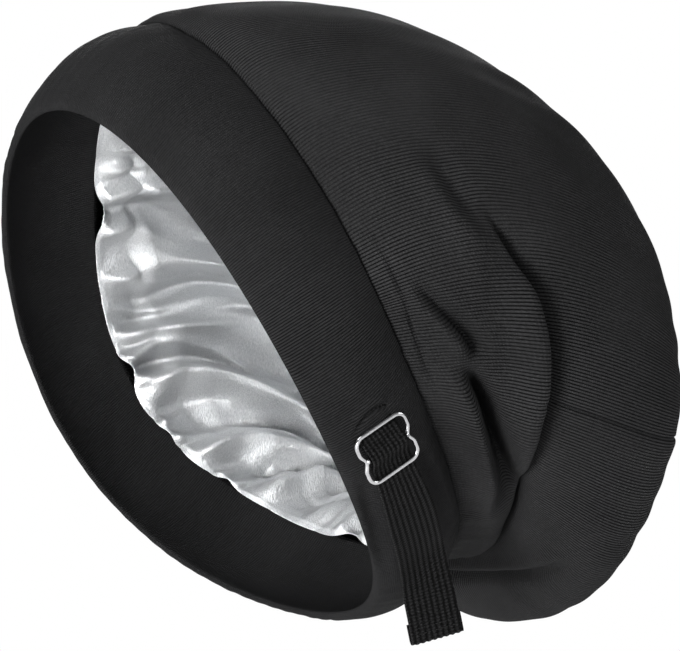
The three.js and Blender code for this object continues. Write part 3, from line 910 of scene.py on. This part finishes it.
def ring_round(centre, side, up, radius):
    turns = np.arange(WIRE_SIDES) * 2 * math.pi / WIRE_SIDES
    return [centre + (side * math.cos(a) + up * math.sin(a)) * radius for a in turns]


def build_buckle(material):
    here, along, across, out = (v[0] for v in strap_frame(np.array([0.0])))
    end = strap_line(np.array([BUCKLE_LENGTH / 2 - WIRE / 2]))[0][0] - here
    centre = here + out * (BUCKLE_LIFT + end @ out)
    outline = buckle_outline()
    rings = []
    for i, (x, y) in enumerate(outline):
        step = outline[(i + 1) % len(outline)] - outline[i - 1]
        side = np.array([step[1], -step[0]]) / np.linalg.norm(step)
        place = centre + across * x - along * y
        rings.append(ring_round(place, across * side[0] - along * side[1], out, WIRE / 2))
    rings = np.array(rings)
    loop = grid_mesh("buckle_wire", rings, np.arange(WIRE_SIDES) / WIRE_SIDES, wrap_rows=True)
    bar_rings = []
    for x in np.linspace(-BUCKLE_WAIST, BUCKLE_WAIST, 17):
        grip = 1 + 0.35 * math.exp(-(((BUCKLE_WAIST - abs(x)) / 0.8) ** 2))
        bar_rings.append(ring_round(centre + across * x, along, out, WIRE / 2 * grip))
    bar = tube_mesh("buckle_bar", bar_rings)
    finish_piece(loop, material, "steel", "buckle")
    finish_piece(bar, material, "steel")


# Materials


class Graph:
    """A material's node graph, built with few words."""

    def __init__(self, name):
        self.material = bpy.data.materials.new(name)
        self.material.use_nodes = True
        self.nodes = self.material.node_tree.nodes
        self.links = self.material.node_tree.links
        self.shader = next(n for n in self.nodes if n.type == "BSDF_PRINCIPLED")

    def node(self, kind, settings=None, **inputs):
        made = self.nodes.new(kind)
        for name, value in (settings or {}).items():
            setattr(made, name, value)
        for name, value in inputs.items():
            self.feed(made.inputs[name.replace("_", " ")], value)
        return made

    def feed(self, socket, value):
        if isinstance(value, bpy.types.NodeSocket):
            self.links.new(value, socket)
        else:
            socket.default_value = value

    def math(self, operation, a, b=0.0, c=0.0):
        made = self.nodes.new("ShaderNodeMath")
        made.operation = operation
        for socket, value in zip(made.inputs, (a, b, c)):
            self.feed(socket, value)
        return made.outputs[0]

    def uv(self):
        place = self.nodes.new("ShaderNodeUVMap")
        place.uv_map = "Surface"
        split = self.node("ShaderNodeSeparateXYZ", Vector=place.outputs[0])
        return split.outputs[0], split.outputs[1]

    def noise(self, scale, detail=2.0, roughness=0.5, stretch=None):
        place = self.nodes.new("ShaderNodeTexCoord").outputs["Object"]
        if stretch:
            place = self.node("ShaderNodeMapping", Vector=place, Scale=stretch).outputs[0]
        made = self.node("ShaderNodeTexNoise", Vector=place, Scale=scale, Detail=detail)
        made.inputs["Roughness"].default_value = roughness
        return made.outputs[0]

    def ramp(self, value, low, high):
        """A colour between two, by a value from 0 to 1."""
        mix = self.nodes.new("ShaderNodeMix")
        mix.data_type = "RGBA"
        self.feed(mix.inputs[0], value)
        mix.inputs[6].default_value = (*low, 1)
        mix.inputs[7].default_value = (*high, 1)
        return mix.outputs[2]

    def bump(self, height, distance, strength):
        made = self.node("ShaderNodeBump", Strength=strength, Distance=distance, Height=height)
        return made.outputs[0]

    def set(self, **values):
        for name, value in values.items():
            self.feed(self.shader.inputs[name.replace("_", " ")], value)


def knit_height(graph, wale, course):
    """Ribs of a jersey knit, and its height with V stitches, from counts across and along."""
    column = graph.math("ABSOLUTE", graph.math("SUBTRACT", graph.math("FRACT", wale), 0.5))
    rib = graph.math("SUBTRACT", 1.0, graph.math("POWER", graph.math("MULTIPLY", column, 2.0), 2.0))
    slant = graph.math("ADD", course, graph.math("MULTIPLY", column, 1.1))
    loop = graph.math("SINE", graph.math("MULTIPLY", slant, 2 * math.pi))
    loop = graph.math("MULTIPLY_ADD", loop, 0.18, 0.82)
    return rib, graph.math("MULTIPLY", rib, loop)


# Both are the jersey's own black; the band's is set a little darker than the crown's as painted shade,
# dimming the band outside and in.
BAND_BLACK = (0.0079, 0.0079, 0.0081)
CROWN_BLACK = (0.0092, 0.0092, 0.0094)
MEAN_RIB = 0.667


def jersey_material(name, base, wales, courses, contrast, swap=False):
    """Matt black knit jersey, with its stitches as a count round and a count per metre. Where
    swap is set, the ribs are the count per metre."""
    graph = Graph(name)
    round_, along = graph.uv()
    if swap:
        wale = graph.math("MULTIPLY", along, wales)
        course = graph.math("MULTIPLY", round_, courses)
    else:
        wale = graph.math("MULTIPLY", round_, wales)
        course = graph.math("MULTIPLY", along, courses)
    rib, height = knit_height(graph, wale, course)
    fuzz = graph.noise(900.0, 3.0, 0.6)
    cloud = graph.noise(28.0, 3.0, 0.55)
    height = graph.math("MULTIPLY_ADD", fuzz, 0.5, height)
    patch = graph.noise(18.0, 2.0, 0.5)
    weight = graph.math("MULTIPLY_ADD", patch, 3.2 * contrast, -0.8 * contrast)
    # Painted shade: the colour darkens in the grooves between the ribs and lightens on their crests,
    # following the knit's relief, with random patches changing how strong it is.
    groove = graph.math("MULTIPLY", graph.math("SUBTRACT", rib, MEAN_RIB), weight)
    shade = graph.math("MULTIPLY_ADD", cloud, 0.45, groove)
    shade = graph.math("MULTIPLY_ADD", fuzz, 0.6, shade)
    dark = tuple(0.08 * c for c in base)
    light = tuple(2.4 * c for c in base)
    normal = graph.bump(height, 0.0004, 0.85)
    graph.set(Base_Color=graph.ramp(shade, dark, light), Roughness=0.92, Normal=normal)
    graph.set(Specular_IOR_Level=0.02, Sheen_Weight=0.006, Sheen_Roughness=0.4)
    graph.set(Sheen_Tint=(0.75, 0.77, 0.82, 1))
    return graph.material


def satin_material():
    """Grey satin: a fine grain of threads, with highlights drawn out along the drapes."""
    graph = Graph("lining_satin")
    thread = graph.noise(1300.0, 2.0, 0.6, stretch=(2.0, 2.0, 0.5))
    slub = graph.noise(260.0, 3.0, 0.6)
    cloud = graph.noise(22.0, 2.0, 0.5)
    height = graph.math("MULTIPLY_ADD", slub, 0.12, thread)
    rough = graph.math("MULTIPLY_ADD", thread, 0.26, 0.3)
    grain = graph.math("MULTIPLY_ADD", thread, 1.9, graph.math("MULTIPLY_ADD", cloud, 0.5, -0.7))
    tangent = graph.node("ShaderNodeTangent", {"direction_type": "UV_MAP", "uv_map": "Surface"})
    graph.set(Anisotropic=0.85, Anisotropic_Rotation=0.25, Tangent=tangent.outputs[0])
    graph.set(Base_Color=graph.ramp(grain, (0.42, 0.435, 0.45), (0.72, 0.725, 0.73)))
    graph.set(Roughness=rough, Metallic=0.88, Specular_IOR_Level=0.6, Sheen_Weight=0.03)
    graph.set(Sheen_Roughness=0.3, Normal=graph.bump(height, 0.0004, 0.9))
    return graph.material


def elastic_material():
    """Woven black elastic: crossways threads over the ribs of its section."""
    graph = Graph("strap_elastic")
    round_, along = graph.uv()
    rib = graph.math("COSINE", graph.math("MULTIPLY", round_, 2 * math.pi * 2 * STRAP_RIBS))
    pick = graph.math("SINE", graph.math("MULTIPLY", along, 2 * math.pi * 900))
    weave = graph.math("MULTIPLY", pick, graph.math("MULTIPLY_ADD", rib, 0.5, 0.6))
    fuzz = graph.noise(1500.0, 2.0, 0.6)
    height = graph.math("MULTIPLY_ADD", fuzz, 0.6, weave)
    # Painted shade: the colour darkens in the gaps between the ribs and between the crossways threads and
    # lightens on them, following the strap's relief, over random fuzz.
    shade = graph.math("MULTIPLY_ADD", rib, 0.28, graph.math("MULTIPLY_ADD", weave, 0.18, fuzz))
    shade = graph.math("SUBTRACT", shade, 0.25)
    graph.set(Base_Color=graph.ramp(shade, (0.0005, 0.0005, 0.0005), (0.017, 0.017, 0.0175)))
    graph.set(Roughness=0.8, Normal=graph.bump(height, 0.00022, 0.8), Sheen_Weight=0.003)
    graph.set(Sheen_Roughness=0.5, Specular_IOR_Level=0.04)
    return graph.material


def steel_material():
    """Polished wire with faint drawing marks and small dull patches."""
    graph = Graph("buckle_steel")
    marks = graph.noise(2600.0, 2.0, 0.5, stretch=(1, 0.2, 1))
    patch = graph.noise(260.0, 3.0, 0.6)
    rough = graph.math("MULTIPLY_ADD", patch, 0.16, 0.12)
    graph.set(Base_Color=graph.ramp(patch, (0.28, 0.28, 0.29), (0.46, 0.46, 0.47)))
    graph.set(Metallic=1.0, Roughness=rough, Normal=graph.bump(marks, 0.00004, 0.5))
    return graph.material


# Studio


def aim(obj, target):
    direction = Vector(target) - obj.location
    obj.rotation_mode = "QUATERNION"
    obj.rotation_quaternion = direction.to_track_quat("-Z", "Y")


def direction_at(azimuth, elevation):
    a, e = math.radians(azimuth), math.radians(elevation)
    return Vector((math.sin(a) * math.cos(e), -math.cos(a) * math.cos(e), math.sin(e)))


def build_camera():
    back = direction_at(VIEW_AZIMUTH, VIEW_ELEVATION)
    a = math.radians(VIEW_AZIMUTH)
    right = Vector((math.cos(a), math.sin(a), 0))
    up = back.cross(right)
    target = right * AIM_RIGHT + up * AIM_UP
    camera = bpy.data.cameras.new("Camera")
    camera.sensor_width = 36.0
    camera.lens = VIEW_DISTANCE * PIXELS_PER_METRE * camera.sensor_width / IMAGE_WIDTH
    camera.clip_start = 0.05
    camera.clip_end = 60
    holder = bpy.data.objects.new("Camera", camera)
    holder.matrix_world = Matrix.Translation(target + back * VIEW_DISTANCE) @ (
        Matrix((right, up, back)).transposed().to_4x4()
    )
    bpy.context.scene.collection.objects.link(holder)
    bpy.context.scene.camera = holder


def build_light(name, azimuth, elevation, distance, size, power):
    light = bpy.data.lights.new(name, "AREA")
    light.shape = "DISK"
    light.size = size
    light.energy = power
    holder = bpy.data.objects.new(name, light)
    holder.location = Vector(LIGHT_TARGET) + direction_at(azimuth, elevation) * distance
    bpy.context.scene.collection.objects.link(holder)
    aim(holder, LIGHT_TARGET)


def build_studio():
    bpy.context.scene.view_settings.view_transform = "Standard"
    world = bpy.data.worlds.new("Studio")
    bpy.context.scene.world = world
    world.use_nodes = True
    nodes, links = world.node_tree.nodes, world.node_tree.links
    nodes.clear()
    soft = nodes.new("ShaderNodeBackground")
    soft.inputs[0].default_value = (1, 1, 1, 1)
    soft.inputs[1].default_value = SURROUND_LIGHT
    seen = nodes.new("ShaderNodeBackground")
    seen.inputs[0].default_value = (1, 1, 1, 1)
    seen.inputs[1].default_value = 1.0
    ray = nodes.new("ShaderNodeLightPath")
    mix = nodes.new("ShaderNodeMixShader")
    output = nodes.new("ShaderNodeOutputWorld")
    links.new(ray.outputs["Is Camera Ray"], mix.inputs[0])
    links.new(soft.outputs[0], mix.inputs[1])
    links.new(seen.outputs[0], mix.inputs[2])
    links.new(mix.outputs[0], output.inputs[0])
    for name, setting in LIGHTS.items():
        build_light(name, *setting)


def build_floor():
    """A wide pale floor whose emission, painted light from no lamp, grows away from the middle, so that
    its edge doesn't show.
    """
    turns = np.arange(FLOOR_SIDES) * 2 * math.pi / FLOOR_SIDES
    verts = [(FLOOR_RADIUS * math.cos(a), FLOOR_RADIUS * math.sin(a), FLOOR_HEIGHT) for a in turns]
    mesh = bpy.data.meshes.new("Floor")
    mesh.from_pydata(verts, [], [list(range(FLOOR_SIDES))])
    floor = bpy.data.objects.new("Floor", mesh)
    bpy.context.scene.collection.objects.link(floor)
    graph = Graph("floor_paper")
    grain = graph.noise(120.0, 2.0, 0.5)
    place = graph.nodes.new("ShaderNodeTexCoord").outputs["Object"]
    reach = graph.node("ShaderNodeVectorMath", {"operation": "LENGTH"})
    graph.links.new(place, reach.inputs[0])
    # Painted light: the floor glows by its own emission, from none within 0.5 m of the middle to full
    # beyond 2.2 m.
    glow = graph.node("ShaderNodeMapRange", {"interpolation_type": "SMOOTHSTEP"})
    graph.feed(glow.inputs["Value"], reach.outputs["Value"])
    glow.inputs["From Min"].default_value = 0.5
    glow.inputs["From Max"].default_value = 2.2
    graph.set(Emission_Color=(1, 1, 1, 1), Emission_Strength=glow.outputs["Result"])
    graph.set(Base_Color=graph.ramp(grain, (0.86, 0.86, 0.86), (0.9, 0.9, 0.9)), Roughness=0.9)
    mesh.materials.append(graph.material)


def main():
    build_camera()
    build_studio()
    build_floor()
    band_jersey = jersey_material(
        "band_jersey", BAND_BLACK, wales=1150.0, courses=130.0, contrast=0.6, swap=True
    )
    crown_jersey = jersey_material(
        "crown_jersey", CROWN_BLACK, wales=560.0, courses=1000.0, contrast=1.05
    )
    elastic = elastic_material()
    build_band(band_jersey)
    build_crown(crown_jersey)
    build_lining(satin_material())
    hem = build_strap(elastic)
    build_hem_stitches(elastic, hem)
    build_buckle(steel_material())
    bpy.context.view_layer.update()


main()
